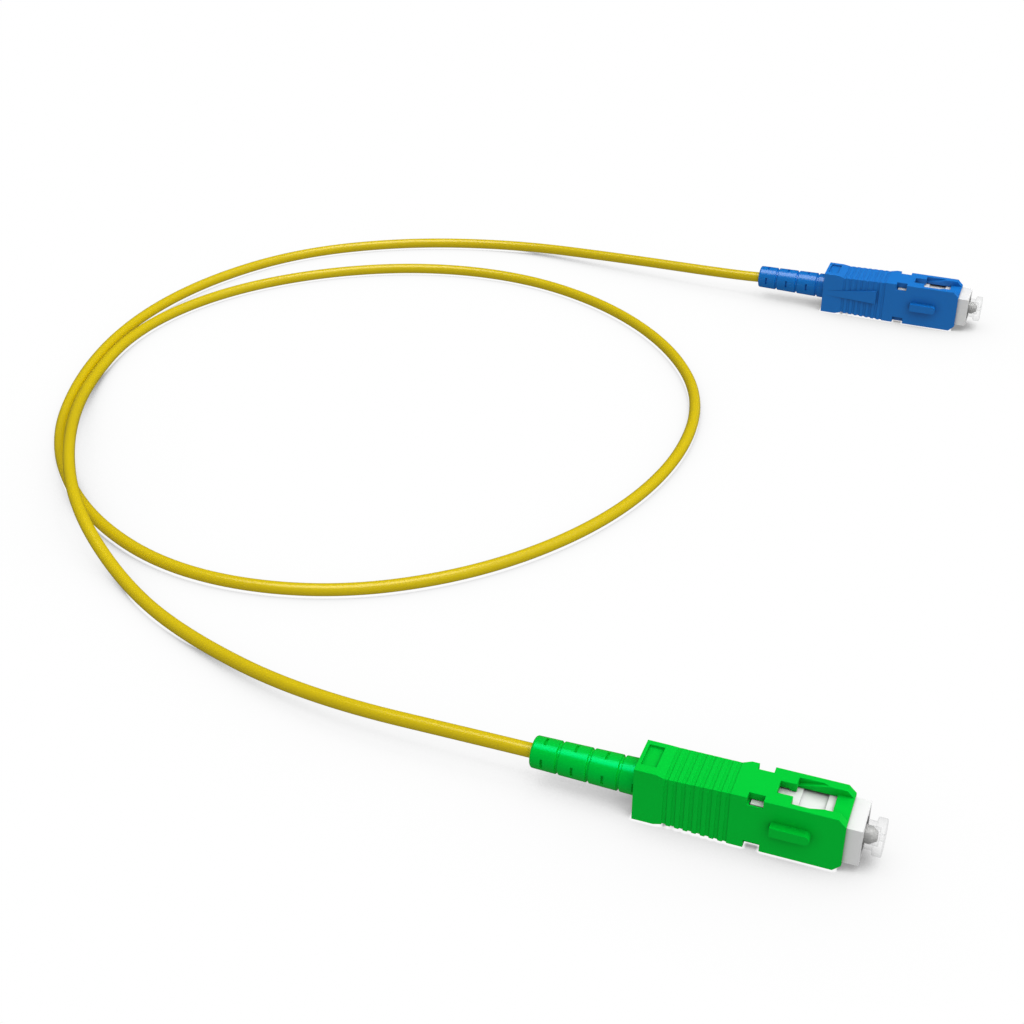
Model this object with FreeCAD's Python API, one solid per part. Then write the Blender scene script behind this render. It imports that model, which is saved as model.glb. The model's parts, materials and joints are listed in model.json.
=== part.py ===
"""Simplex fibre optic patch cable: an angled push-pull plug and a flat one on a yellow cord.

Millimetres. +X is the way both plugs face, +Y runs from the angled plug to the flat one and
+Z is up. The origin is on the surface that the plugs lie on, midway between them.
"""
import FreeCAD, Part
import math
import os

Vector = FreeCAD.Vector

# Layout of the two plugs on the surface
PLUG_SPACING = 171.9
PLUG_STAGGER = 9.2

# Grip, the outer sleeve that is pushed and pulled
GRIP_LENGTH = 29.2
GRIP_WIDTH = 7.4
GRIP_HEIGHT = 9.0
NOSE_CHAMFER = 1.1
BACK_CHAMFER = 0.7
BACK_CHAMFER_RUN_OUT = 1.2
PAD_LENGTH = 3.1
PAD_RAMP = 1.2
WAIST_DEPTH = 0.37
GROOVE_COUNT = 8
GROOVE_PITCH = 1.23
GROOVE_WIDTH = 0.62
GROOVE_DEPTH = 0.12
GROOVE_DRAFT = 0.08
PAD_RECESS_START = 0.55
PAD_RECESS_LENGTH = 2.2
PAD_RECESS_WIDTH = 4.4
PAD_RECESS_DEPTH = 0.4

# Grip openings: corner notches, top and bottom windows with their release ramps
NOTCH_BEHIND_FRAME = 0.4
NOTCH_LENGTH = 2.25
NOTCH_OVER_SHOULDER = 0.95
NOTCH_INTO_SHOULDER = 0.2
SLOT_LENGTH = 2.25
SLOT_WIDTH = 2.5
WINDOW_BACK = 9.9
WINDOW_LENGTH = 5.4
WINDOW_WIDTH = 4.6
RAMP_LEDGE = 0.5
RAMP_LENGTH = 4.4
RAMP_RISE = 1.0
RAMP_CORNER = 1.0
BRIDGE_WALL = 0.35

# Key on one side of the grip
KEY_BACK = 12.1
KEY_LENGTH = 5.5
KEY_HEIGHT = 1.6
KEY_OUT = 1.2
ANGLED_KEY_LIFT = 0.45
FLAT_KEY_LIFT = 0.0
KEY_ROOT = 0.2

# Thumb wedge beside the ribs of the flat plug's grip
WEDGE_START = 0.6
WEDGE_LENGTH = 11.2
WEDGE_REAR_HEIGHT = 0.95
WEDGE_REAR_LIFT = 0.05
WEDGE_FRONT_HEIGHT = 3.05
WEDGE_FRONT_LIFT = 0.85
WEDGE_OUT = 0.5

# Plug frame, the square inner housing
FRAME_LENGTH = 15.2
FRAME_OUT = 2.2
FRAME_WIDTH = 6.5
FRAME_HEIGHT = 6.1
SHOULDER_LENGTH = 2.2
SHOULDER_WIDTH = 6.7
SHOULDER_HEIGHT = 6.6
CATCH_BACK = 9.1
CATCH_LENGTH = 3.5
CATCH_DEPTH = 0.4
MOUTH_DIAMETER = 4.8
MOUTH_DEPTH = 5.0
SEAT_WALL = 1.2
SEAT_HOLE_DIAMETER = 3.2
CHAMBER_DIAMETER = 4.6

# Ferrule with its bore for the glass, and the metal holder it is pressed into
FERRULE_DIAMETER = 2.5
FERRULE_LENGTH = 10.5
FERRULE_OUT = 1.7
FERRULE_TIP_DIAMETER = 1.3
FERRULE_TIP_LENGTH = 0.9
FERRULE_BORE = 0.127
FUNNEL_DIAMETER = 0.96
FUNNEL_STRAIGHT = 1.0
FUNNEL_CONE = 0.7
ANGLED_POLISH_DEGREES = 8.0
HOLDER_COLLAR_DIAMETER = 4.3
HOLDER_COLLAR_LENGTH = 1.6
HOLDER_SLOT_COUNT = 4
HOLDER_SLOT_WIDTH = 0.8
HOLDER_SLOT_DEPTH = 0.4
HOLDER_HUB_DIAMETER = 2.95
HOLDER_HUB_BEHIND = 0.4
HOLDER_TAIL_DIAMETER = 2.0
HOLDER_TAIL_IN_STOP = 3.0
HOLDER_TAIL_BORE = 1.0

# Spring behind the holder
SPRING_WIRE = 0.4
SPRING_MEAN_DIAMETER = 3.8
SPRING_TURNS = 5
SPRING_ARCS_PER_TURN = 4
SPRING_SEAT_GAP = 0.02

# Stop ring: spigot in the frame, collar behind it and the post that the yarn is crimped on
SPIGOT_LENGTH = 2.4
STOP_COLLAR_DIAMETER = 5.2
STOP_COLLAR_LENGTH = 1.4
POST_DIAMETER = 3.2
POST_LENGTH = 5.8
POST_BORE = 1.6
TAIL_POCKET_DEPTH = 4.6
POST_RING_COUNT = 5
POST_RING_PITCH = 0.9
POST_RING_WIDTH = 0.3
POST_RING_DEPTH = 0.1

# Crimp ring over the yarn, with a neck closed on the cord
CRIMP_WALL = 0.25
CRIMP_LENGTH = 9.8
CRIMP_NECK_LENGTH = 1.6
CRIMP_CONE_LENGTH = 0.6

# Cord and its contents
CORD_DIAMETER = 2.0
BUFFER_DIAMETER = 0.9
GLASS_DIAMETER = 0.125
BUFFER_IN_FUNNEL = 0.8
YARN_THICKNESS = 0.15
YARN_CORE_DIAMETER = 1.2
YARN_FRONT_GAP = 0.4
YARN_FUNNEL_LENGTH = 0.5
CORD_END_GAP = 0.6

# Boot, the tapered strain relief
BOOT_OUT = 15.7
BOOT_REAR_DIAMETER = 4.45
BOOT_FRONT_DIAMETER = 5.1
BOOT_CORD_BORE = 2.2
BOOT_EDGE_RADIUS = 0.35
BOOT_SEGMENT = 4.55
BOOT_RING_COUNT = 3
BOOT_RING_WIDTH = 0.35
BOOT_RING_DEPTH = 0.3
BOOT_FIRST_RING = 3.85
SLITS_AROUND = 4
SLIT_WIDTH = 0.35
SLIT_ACROSS = 1.15
SLIT_DEPTH = 0.6
SLIT_FIRST = 1.75

# Clear dust cap on the ferrule
CAP_TUBE_DIAMETER = 4.0
CAP_IN_MOUTH = 3.8
CAP_TUBE_OUT = 1.3
CAP_FLANGE_DIAMETER = 5.3
CAP_FLANGE_LENGTH = 1.3
CAP_TIP_ROOM = 0.2
CAP_VENT_DIAMETER = 1.0
CAP_EDGE = 0.12

# Travel of the grip, and the clearances between pieces
GRIP_TRAVEL = 2.0
STOP_GAP = 0.15
SLIDE_CLEARANCE = 0.1
BOOT_CLEARANCE = 0.25
SPIGOT_CLEARANCE = 0.05
CRIMP_CLEARANCE = 0.1
YARN_CLEARANCE = 0.03
CORD_CLEARANCE = 0.05
TAIL_CLEARANCE = 0.2
CAP_CLEARANCE = 0.05

# Route of the cord on the surface, angled plug to flat plug: x, y and the lift off the surface
CORD_LEAD = 4.45
CORD_ROUTE = [
    (-57.5, -84.0, 2.4),
    (-84.5, -75.0, 0.0),
    (-102.5, -65.0, 0.0),
    (-117.5, -54.5, 5.2),
    (-132.0, -35.5, 5.2),
    (-146.0, -9.0, 0.6),
    (-150.5, 17.0, 0.0),
    (-144.5, 40.0, 0.0),
    (-128.5, 59.0, 0.0),
    (-106.0, 71.5, 0.0),
    (-81.5, 74.5, 0.0),
    (-58.5, 67.0, 0.0),
    (-39.5, 51.5, 0.0),
    (-27.5, 31.0, 0.0),
    (-25.0, 6.0, 0.0),
    (-31.0, -19.5, 0.0),
    (-46.0, -42.0, 0.0),
    (-68.0, -56.5, 0.0),
    (-94.0, -60.0, 0.0),
    (-118.0, -50.0, 0.0),
    (-138.0, -31.0, 0.0),
    (-149.0, -6.0, 0.0),
    (-154.5, 20.0, 0.0),
    (-150.5, 45.5, 0.0),
    (-137.0, 68.0, 0.0),
    (-116.0, 84.0, 0.0),
    (-90.0, 91.5, 0.0),
    (-62.5, 88.5, 2.2),
]
ARC_SHARE = 0.45

# Room that cutting shapes reach past what they cut
PAST = 1.0

# Places along a plug's own axis, forward from the grip's rear face
FRAME_FRONT = GRIP_LENGTH + FRAME_OUT
FRAME_REAR = FRAME_FRONT - FRAME_LENGTH
MOUTH_BOTTOM = FRAME_FRONT - MOUTH_DEPTH
HOLDER_FRONT = MOUTH_BOTTOM - SEAT_WALL
FERRULE_FRONT = FRAME_FRONT + FERRULE_OUT
FERRULE_REAR = FERRULE_FRONT - FERRULE_LENGTH
COLLAR_REAR = HOLDER_FRONT - HOLDER_COLLAR_LENGTH
HUB_REAR = FERRULE_REAR - HOLDER_HUB_BEHIND
SPIGOT_FRONT = FRAME_REAR + SPIGOT_LENGTH
TAIL_REAR = SPIGOT_FRONT - HOLDER_TAIL_IN_STOP
STOP_COLLAR_REAR = FRAME_REAR - STOP_COLLAR_LENGTH
POST_REAR = STOP_COLLAR_REAR - POST_LENGTH
CORD_END = POST_REAR - CORD_END_GAP
CRIMP_REAR = STOP_COLLAR_REAR - CRIMP_LENGTH
CAP_REAR = FRAME_FRONT - CAP_IN_MOUTH
CAP_FLANGE_REAR = FRAME_FRONT + CAP_TUBE_OUT
CAP_FRONT = CAP_FLANGE_REAR + CAP_FLANGE_LENGTH
BOOT_REAR = -BOOT_OUT
NOTCH_START = FRAME_REAR - NOTCH_BEHIND_FRAME
WINDOW_START = FRAME_FRONT - WINDOW_BACK
SLOT_START = WINDOW_START - SLOT_LENGTH
KEY_START = FRAME_FRONT - KEY_BACK
CATCH_START = FRAME_FRONT - CATCH_BACK
WAIST_START = PAD_LENGTH + PAD_RAMP
WAIST_LENGTH = (GROOVE_COUNT - 1) * GROOVE_PITCH + GROOVE_WIDTH
WAIST_END = WAIST_START + WAIST_LENGTH

# Diameters that follow from what they hold
YARN_INNER = POST_DIAMETER + 2 * YARN_CLEARANCE
YARN_OUTER = YARN_INNER + 2 * YARN_THICKNESS
CRIMP_INNER = YARN_OUTER + 2 * YARN_CLEARANCE
CRIMP_OUTER = CRIMP_INNER + 2 * CRIMP_WALL
CRIMP_NECK_INNER = CORD_DIAMETER + 2 * CORD_CLEARANCE
CRIMP_NECK_OUTER = CRIMP_NECK_INNER + 2 * CRIMP_WALL
BOOT_CRIMP_BORE = CRIMP_OUTER + 2 * CRIMP_CLEARANCE
GRIP_BORE = BOOT_FRONT_DIAMETER + 2 * BOOT_CLEARANCE
CAVITY_WIDTH = FRAME_WIDTH + 2 * SLIDE_CLEARANCE
CAVITY_HEIGHT = FRAME_HEIGHT + 2 * SLIDE_CLEARANCE
SHOULDER_CAVITY_WIDTH = SHOULDER_WIDTH + 2 * SLIDE_CLEARANCE
SHOULDER_CAVITY_HEIGHT = SHOULDER_HEIGHT + 2 * SLIDE_CLEARANCE

# Places of the two plugs, so that the origin is midway between their outer faces
AXIS_HEIGHT = GRIP_HEIGHT / 2
ANGLED_X = (PLUG_STAGGER - BOOT_REAR - CAP_FRONT) / 2
ANGLED_Y = (KEY_OUT - PLUG_SPACING) / 2
FLAT_X = ANGLED_X - PLUG_STAGGER
FLAT_Y = ANGLED_Y + PLUG_SPACING


def block(start, end, width, height):
    """Box from start to end along the plug's axis, centred on it."""
    corner = Vector(start, -width / 2, -height / 2)
    return Part.makeBox(end - start, width, height, corner)


def rod(start, end, diameter):
    """Cylinder on the plug's axis."""
    return Part.makeCylinder(diameter / 2, end - start, Vector(start, 0, 0), Vector(1, 0, 0))


def turned(profile):
    """Solid of revolution about the plug's axis from (place, radius) points."""
    points = [Vector(x, 0, r) for x, r in profile]
    face = Part.Face(Part.makePolygon(points + points[:1]))
    return face.revolve(Vector(0, 0, 0), Vector(1, 0, 0), 360)


def side_prism(outline, width):
    """Prism across the plug from an outline of (place, height) points."""
    points = [Vector(x, -width / 2, z) for x, z in outline]
    face = Part.Face(Part.makePolygon(points + points[:1]))
    return face.extrude(Vector(0, width, 0))


def plan_prism(outline, height):
    """Prism up through the plug from an outline of (place, across) points."""
    points = [Vector(x, y, -height / 2) for x, y in outline]
    face = Part.Face(Part.makePolygon(points + points[:1]))
    return face.extrude(Vector(0, 0, height))


def top_and_bottom(shape):
    """The shape and its copy turned half round the plug's axis."""
    other = shape.copy()
    other.rotate(Vector(0, 0, 0), Vector(1, 0, 0), 180)
    return [shape, other]


def flank(half, waist_depth, chamfer):
    """One flank of the grip, rear to front: pad, ramp down, grooved waist that rises forward and nose."""
    line = [(0, half), (PAD_LENGTH, half)]
    for index in range(GROOVE_COUNT):
        start = index * GROOVE_PITCH
        end = start + GROOVE_WIDTH
        high_start = half - waist_depth * (1 - start / WAIST_LENGTH)
        high_end = half - waist_depth * (1 - end / WAIST_LENGTH)
        line.append((WAIST_START + start, high_start))
        line.append((WAIST_START + start + GROOVE_DRAFT, high_start - GROOVE_DEPTH))
        line.append((WAIST_START + end - GROOVE_DRAFT, high_end - GROOVE_DEPTH))
        line.append((WAIST_START + end, high_end))
    line.append((GRIP_LENGTH - chamfer, half))
    if chamfer:
        line.append((GRIP_LENGTH, half - chamfer))
    return line


def closed_flanks(half, waist_depth, chamfer):
    """Outline of the grip from one flank and its mirror image."""
    upper = flank(half, waist_depth, chamfer)
    lower = [(x, -offset) for x, offset in reversed(upper)]
    return upper + lower


def back_chamfers():
    """Cuts along the grip's two long edges opposite the key, which run out ahead of the ribs."""
    corner = (GRIP_WIDTH + GRIP_HEIGHT) / 2 / math.sqrt(2)
    depth = BACK_CHAMFER / math.sqrt(2)
    outline = [
        (-PAST, corner - depth),
        (WAIST_END, corner - depth),
        (WAIST_END + 2 * BACK_CHAMFER_RUN_OUT, corner + depth),
        (-PAST, corner + depth),
    ]
    cuts = []
    for turn in (-45, -135):
        cut = side_prism(outline, GRIP_HEIGHT)
        cut.rotate(Vector(0, 0, 0), Vector(1, 0, 0), turn)
        cuts.append(cut)
    return cuts


def grip_outside():
    """Outer form of the grip: where its side outline and its plan outline meet."""
    side = side_prism(closed_flanks(GRIP_HEIGHT / 2, WAIST_DEPTH, NOSE_CHAMFER), GRIP_WIDTH)
    plan = plan_prism(closed_flanks(GRIP_WIDTH / 2, 0, 0), GRIP_HEIGHT)
    return side.common(plan).cut(back_chamfers())


def grip_key(lift):
    """Key on the grip's side, square behind and round in front."""
    radius = KEY_HEIGHT / 2
    outer = -GRIP_WIDTH / 2 - KEY_OUT
    depth = KEY_OUT + KEY_ROOT
    straight = KEY_LENGTH - radius
    bar = Part.makeBox(straight, depth, KEY_HEIGHT, Vector(KEY_START, outer, lift - radius))
    nose_centre = Vector(KEY_START + straight, outer, lift)
    nose = Part.makeCylinder(radius, depth, nose_centre, Vector(0, 1, 0))
    return bar.fuse(nose).removeSplitter()


def thumb_wedge():
    """Wedge over the ribs on the key's side: narrow and flush behind, wide and proud in front."""
    end = WEDGE_START + WEDGE_LENGTH
    face_y = -GRIP_WIDTH / 2
    root_y = face_y + 2 * GROOVE_DEPTH
    low_rear = WEDGE_REAR_LIFT - WEDGE_REAR_HEIGHT / 2
    low_front = WEDGE_FRONT_LIFT - WEDGE_FRONT_HEIGHT / 2
    outline = [
        (WEDGE_START, low_rear),
        (end, low_front),
        (end, low_front + WEDGE_FRONT_HEIGHT),
        (WEDGE_START, low_rear + WEDGE_REAR_HEIGHT),
    ]
    plan = [(WEDGE_START, root_y), (WEDGE_START, face_y), (end, face_y - WEDGE_OUT), (end, root_y)]
    reach = GRIP_WIDTH + 2 * WEDGE_OUT + PAST
    return side_prism(outline, reach).common(plan_prism(plan, GRIP_HEIGHT))


def grip_cavity():
    """Hollow of the grip: round behind for the boot, square in front for the plug frame."""
    rear = FRAME_REAR - STOP_GAP
    shoulder_end = FRAME_REAR + SHOULDER_LENGTH + GRIP_TRAVEL + STOP_GAP
    bore = rod(-PAST, rear + PAST, GRIP_BORE)
    wide = block(rear, shoulder_end, SHOULDER_CAVITY_WIDTH, SHOULDER_CAVITY_HEIGHT)
    front = block(rear, GRIP_LENGTH + PAST, CAVITY_WIDTH, CAVITY_HEIGHT)
    return [bore, wide, front]


def grip_notches():
    """The four notches in the grip's long corners, which show the frame's shoulder."""
    inner_y = SHOULDER_CAVITY_WIDTH / 2 - NOTCH_OVER_SHOULDER
    inner_z = SHOULDER_CAVITY_HEIGHT / 2 - NOTCH_INTO_SHOULDER
    width = GRIP_WIDTH / 2 + PAST - inner_y
    height = GRIP_HEIGHT / 2 + PAST - inner_z
    cuts = []
    for across in (-1, 1):
        for up in (-1, 1):
            cut = block(NOTCH_START, NOTCH_START + NOTCH_LENGTH, width, height)
            cut.translate(Vector(0, across * (inner_y + width / 2), up * (inner_z + height / 2)))
            cuts.append(cut)
    return cuts


def release_ramps():
    """Recess over the window whose floor rises forward, so that it lifts a socket's hooks."""
    top = GRIP_HEIGHT / 2
    half = WINDOW_WIDTH / 2
    wide = half + RAMP_LEDGE
    end = WINDOW_START + RAMP_LENGTH
    slope = [
        (WINDOW_START, top - RAMP_RISE),
        (end, top),
        (end, top + PAST),
        (WINDOW_START, top + PAST),
    ]
    plan = [
        (WINDOW_START, -wide),
        (end - RAMP_CORNER, -wide),
        (end, -half),
        (end, half),
        (end - RAMP_CORNER, wide),
        (WINDOW_START, wide),
    ]
    return side_prism(slope, GRIP_WIDTH).common(plan_prism(plan, GRIP_HEIGHT + 2 * PAST))


def grip_windows():
    """Slot, window, release ramps and open front channel, in the top and the bottom wall."""
    top = GRIP_HEIGHT / 2
    reach = GRIP_HEIGHT + PAST
    window_end = WINDOW_START + WINDOW_LENGTH
    slot = block(SLOT_START, WINDOW_START + RAMP_LEDGE, SLOT_WIDTH, reach)
    slot.translate(Vector(0, 0, reach / 2))
    window = block(WINDOW_START, window_end, WINDOW_WIDTH, reach)
    window.translate(Vector(0, 0, reach / 2))
    bridge = CAVITY_HEIGHT / 2 + BRIDGE_WALL
    channel = block(window_end - RAMP_LEDGE, GRIP_LENGTH + PAST, WINDOW_WIDTH, reach)
    channel.translate(Vector(0, 0, bridge + reach / 2))
    recess_end = PAD_RECESS_START + PAD_RECESS_LENGTH
    recess_height = PAD_RECESS_DEPTH + PAST
    recess = block(PAD_RECESS_START, recess_end, PAD_RECESS_WIDTH, recess_height)
    recess.translate(Vector(0, 0, top - PAD_RECESS_DEPTH + recess_height / 2))
    cuts = []
    for cut in (slot, window, channel, recess, release_ramps()):
        cuts.extend(top_and_bottom(cut))
    return cuts


def grip(key_lift, with_wedge):
    """Push-pull grip with ribs, key, notches and release windows."""
    outside = grip_outside().fuse(grip_key(key_lift))
    if with_wedge:
        outside = outside.fuse(thumb_wedge())
    return outside.cut(grip_cavity() + grip_notches() + grip_windows()).removeSplitter()


def plug_frame():
    """Square inner housing with catches for a socket's hooks and a stepped bore."""
    body = block(FRAME_REAR, FRAME_FRONT, FRAME_WIDTH, FRAME_HEIGHT)
    shoulder = block(FRAME_REAR, FRAME_REAR + SHOULDER_LENGTH, SHOULDER_WIDTH, SHOULDER_HEIGHT)
    pocket_height = CATCH_DEPTH + PAST
    pocket = block(CATCH_START, CATCH_START + CATCH_LENGTH, FRAME_WIDTH + PAST, pocket_height)
    pocket.translate(Vector(0, 0, FRAME_HEIGHT / 2 - CATCH_DEPTH + pocket_height / 2))
    bores = [
        rod(FRAME_REAR - PAST, HOLDER_FRONT, CHAMBER_DIAMETER),
        rod(HOLDER_FRONT - PAST, MOUTH_BOTTOM + PAST, SEAT_HOLE_DIAMETER),
        rod(MOUTH_BOTTOM, FRAME_FRONT + PAST, MOUTH_DIAMETER),
    ]
    return body.fuse(shoulder).cut(top_and_bottom(pocket) + bores).removeSplitter()


def ferrule(polish_degrees):
    """Ceramic ferrule with a coned tip, a fine bore and a funnel behind it."""
    radius = FERRULE_DIAMETER / 2
    funnel_end = FERRULE_REAR + FUNNEL_STRAIGHT
    body = turned([
        (FERRULE_REAR, FUNNEL_DIAMETER / 2),
        (FERRULE_REAR, radius),
        (FERRULE_FRONT - FERRULE_TIP_LENGTH, radius),
        (FERRULE_FRONT, FERRULE_TIP_DIAMETER / 2),
        (FERRULE_FRONT, FERRULE_BORE / 2),
        (funnel_end + FUNNEL_CONE, FERRULE_BORE / 2),
        (funnel_end, FUNNEL_DIAMETER / 2),
    ])
    if polish_degrees:
        wide = 2 * FERRULE_DIAMETER
        waste = block(FERRULE_FRONT, FERRULE_FRONT + PAST, wide, wide)
        waste.rotate(Vector(FERRULE_FRONT, 0, 0), Vector(0, 0, 1), polish_degrees)
        body = body.cut(waste)
    return body


def ferrule_holder():
    """Metal holder of the ferrule: slotted collar, hub and a tail that guides the spring."""
    hub = HOLDER_HUB_DIAMETER / 2
    tail = HOLDER_TAIL_DIAMETER / 2
    body = turned([
        (TAIL_REAR, HOLDER_TAIL_BORE / 2),
        (TAIL_REAR, tail),
        (HUB_REAR, tail),
        (HUB_REAR, hub),
        (COLLAR_REAR, hub),
        (COLLAR_REAR, HOLDER_COLLAR_DIAMETER / 2),
        (HOLDER_FRONT, HOLDER_COLLAR_DIAMETER / 2),
        (HOLDER_FRONT, FERRULE_DIAMETER / 2),
        (FERRULE_REAR, FERRULE_DIAMETER / 2),
        (FERRULE_REAR, HOLDER_TAIL_BORE / 2),
    ])
    slots = []
    for index in range(HOLDER_SLOT_COUNT):
        height = HOLDER_SLOT_DEPTH + PAST
        slot = block(COLLAR_REAR - PAST, HOLDER_FRONT + PAST, HOLDER_SLOT_WIDTH, height)
        slot.translate(Vector(0, 0, HOLDER_COLLAR_DIAMETER / 2 - HOLDER_SLOT_DEPTH + height / 2))
        slot.rotate(Vector(0, 0, 0), Vector(1, 0, 0), index * 360 / HOLDER_SLOT_COUNT)
        slots.append(slot)
    return body.cut(slots)


def coil_point(turns, pitch):
    """Point on the spring's centre line after a number of turns, on an upright axis."""
    radius = SPRING_MEAN_DIAMETER / 2
    angle = 2 * math.pi * turns
    return Vector(radius * math.cos(angle), radius * math.sin(angle), pitch * turns)


def spring():
    """Coil spring between the stop ring's spigot and the holder's collar, as a run of short arcs."""
    start = SPIGOT_FRONT + SPRING_WIRE / 2 + SPRING_SEAT_GAP
    end = COLLAR_REAR - SPRING_WIRE / 2 - SPRING_SEAT_GAP
    pitch = (end - start) / SPRING_TURNS
    arcs = []
    for index in range(SPRING_TURNS * SPRING_ARCS_PER_TURN):
        turns = [(index + share) / SPRING_ARCS_PER_TURN for share in (0, 0.5, 1)]
        arcs.append(Part.Arc(*[coil_point(turn, pitch) for turn in turns]).toShape())
    along = arcs[0].tangentAt(arcs[0].FirstParameter)
    section = Part.Wire(Part.makeCircle(SPRING_WIRE / 2, coil_point(0, pitch), along))
    body = Part.Wire(arcs).makePipeShell([section], True, True)
    body.rotate(Vector(0, 0, 0), Vector(0, 1, 0), 90)
    body.translate(Vector(start, 0, 0))
    return body


def stop_ring():
    """Metal ring that closes the plug frame and carries the crimp post."""
    collar = STOP_COLLAR_DIAMETER / 2
    spigot = CHAMBER_DIAMETER / 2 - SPIGOT_CLEARANCE
    post = POST_DIAMETER / 2
    pocket = HOLDER_TAIL_DIAMETER / 2 + TAIL_CLEARANCE
    pocket_end = SPIGOT_FRONT - TAIL_POCKET_DEPTH
    body = turned([
        (POST_REAR, POST_BORE / 2),
        (POST_REAR, post),
        (STOP_COLLAR_REAR, post),
        (STOP_COLLAR_REAR, collar),
        (FRAME_REAR, collar),
        (FRAME_REAR, spigot),
        (SPIGOT_FRONT, spigot),
        (SPIGOT_FRONT, pocket),
        (pocket_end, pocket),
        (pocket_end, POST_BORE / 2),
    ])
    rings = []
    for index in range(POST_RING_COUNT):
        start = POST_REAR + POST_RING_PITCH / 2 + index * POST_RING_PITCH
        ring = rod(start, start + POST_RING_WIDTH, POST_DIAMETER + PAST)
        core = rod(start, start + POST_RING_WIDTH, POST_DIAMETER - 2 * POST_RING_DEPTH)
        rings.append(ring.cut(core))
    return body.cut(rings)


def yarn():
    """Aramid yarn that fans out of the cord's end and lies along the post under the crimp ring."""
    front = STOP_COLLAR_REAR - YARN_FRONT_GAP
    fan_end = CORD_END + YARN_FUNNEL_LENGTH
    return turned([
        (CORD_END, YARN_CORE_DIAMETER / 2),
        (CORD_END, YARN_CORE_DIAMETER / 2 + YARN_THICKNESS),
        (fan_end - YARN_THICKNESS, YARN_OUTER / 2),
        (front, YARN_OUTER / 2),
        (front, YARN_INNER / 2),
        (fan_end, YARN_INNER / 2),
    ])


def crimp_ring():
    """Metal ring crimped over the yarn, with a narrow neck that grips the cord's jacket."""
    neck_end = CRIMP_REAR + CRIMP_NECK_LENGTH
    cone_end = neck_end + CRIMP_CONE_LENGTH
    return turned([
        (CRIMP_REAR, CRIMP_NECK_INNER / 2),
        (CRIMP_REAR, CRIMP_NECK_OUTER / 2),
        (neck_end, CRIMP_NECK_OUTER / 2),
        (cone_end, CRIMP_OUTER / 2),
        (STOP_COLLAR_REAR, CRIMP_OUTER / 2),
        (STOP_COLLAR_REAR, CRIMP_INNER / 2),
        (cone_end, CRIMP_INNER / 2),
        (neck_end, CRIMP_NECK_INNER / 2),
    ])


def fibre():
    """Buffered fibre from the cord's end to the ferrule, and its bare glass to the tip."""
    strip = FERRULE_REAR + BUFFER_IN_FUNNEL
    return turned([
        (CORD_END, 0),
        (CORD_END, BUFFER_DIAMETER / 2),
        (strip, BUFFER_DIAMETER / 2),
        (strip, GLASS_DIAMETER / 2),
        (FERRULE_FRONT, GLASS_DIAMETER / 2),
        (FERRULE_FRONT, 0),
    ])


def boot_radius(place):
    """Radius of the boot's tapered outside at a place along the axis."""
    if place > 0:
        return BOOT_FRONT_DIAMETER / 2
    share = (place - BOOT_REAR) / BOOT_OUT
    return (BOOT_REAR_DIAMETER + share * (BOOT_FRONT_DIAMETER - BOOT_REAR_DIAMETER)) / 2


def boot():
    """Strain relief: tapered, ringed and slit so that it bends with the cord."""
    step = CRIMP_REAR - CRIMP_CLEARANCE
    outside = [(BOOT_REAR, boot_radius(BOOT_REAR))]
    for index in range(BOOT_RING_COUNT):
        start = BOOT_REAR + BOOT_FIRST_RING + index * BOOT_SEGMENT - BOOT_RING_WIDTH / 2
        end = start + BOOT_RING_WIDTH
        outside.append((start, boot_radius(start)))
        outside.append((start, boot_radius(start) - BOOT_RING_DEPTH))
        outside.append((end, boot_radius(end) - BOOT_RING_DEPTH))
        outside.append((end, boot_radius(end)))
    outside.append((0, boot_radius(0)))
    outside.append((STOP_COLLAR_REAR, boot_radius(STOP_COLLAR_REAR)))
    inside = [
        (STOP_COLLAR_REAR, BOOT_CRIMP_BORE / 2),
        (step, BOOT_CRIMP_BORE / 2),
        (step, BOOT_CORD_BORE / 2),
        (BOOT_REAR, BOOT_CORD_BORE / 2),
    ]
    body = turned(outside + inside)
    rims = [edge for edge in body.Edges if is_boot_rim(edge)]
    return body.makeFillet(BOOT_EDGE_RADIUS, rims).cut(boot_slits())


def is_boot_rim(edge):
    """Whether an edge is the outer circle of the boot's rear end."""
    box = edge.BoundBox
    at_rear = abs(box.XMin - BOOT_REAR) < 1e-6 and box.XLength < 1e-6
    return at_rear and abs(box.ZMax - boot_radius(BOOT_REAR)) < 1e-6


def boot_slits():
    """Short slits around the middle of each segment of the boot."""
    slits = []
    for segment in range(BOOT_RING_COUNT + 1):
        middle = BOOT_REAR + SLIT_FIRST + segment * BOOT_SEGMENT
        height = SLIT_DEPTH + PAST
        for index in range(SLITS_AROUND):
            start = middle - SLIT_WIDTH / 2
            slit = block(start, start + SLIT_WIDTH, SLIT_ACROSS, height)
            slit.translate(Vector(0, 0, boot_radius(middle) - SLIT_DEPTH + height / 2))
            slit.rotate(Vector(0, 0, 0), Vector(1, 0, 0), index * 360 / SLITS_AROUND)
            slits.append(slit)
    return slits


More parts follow.
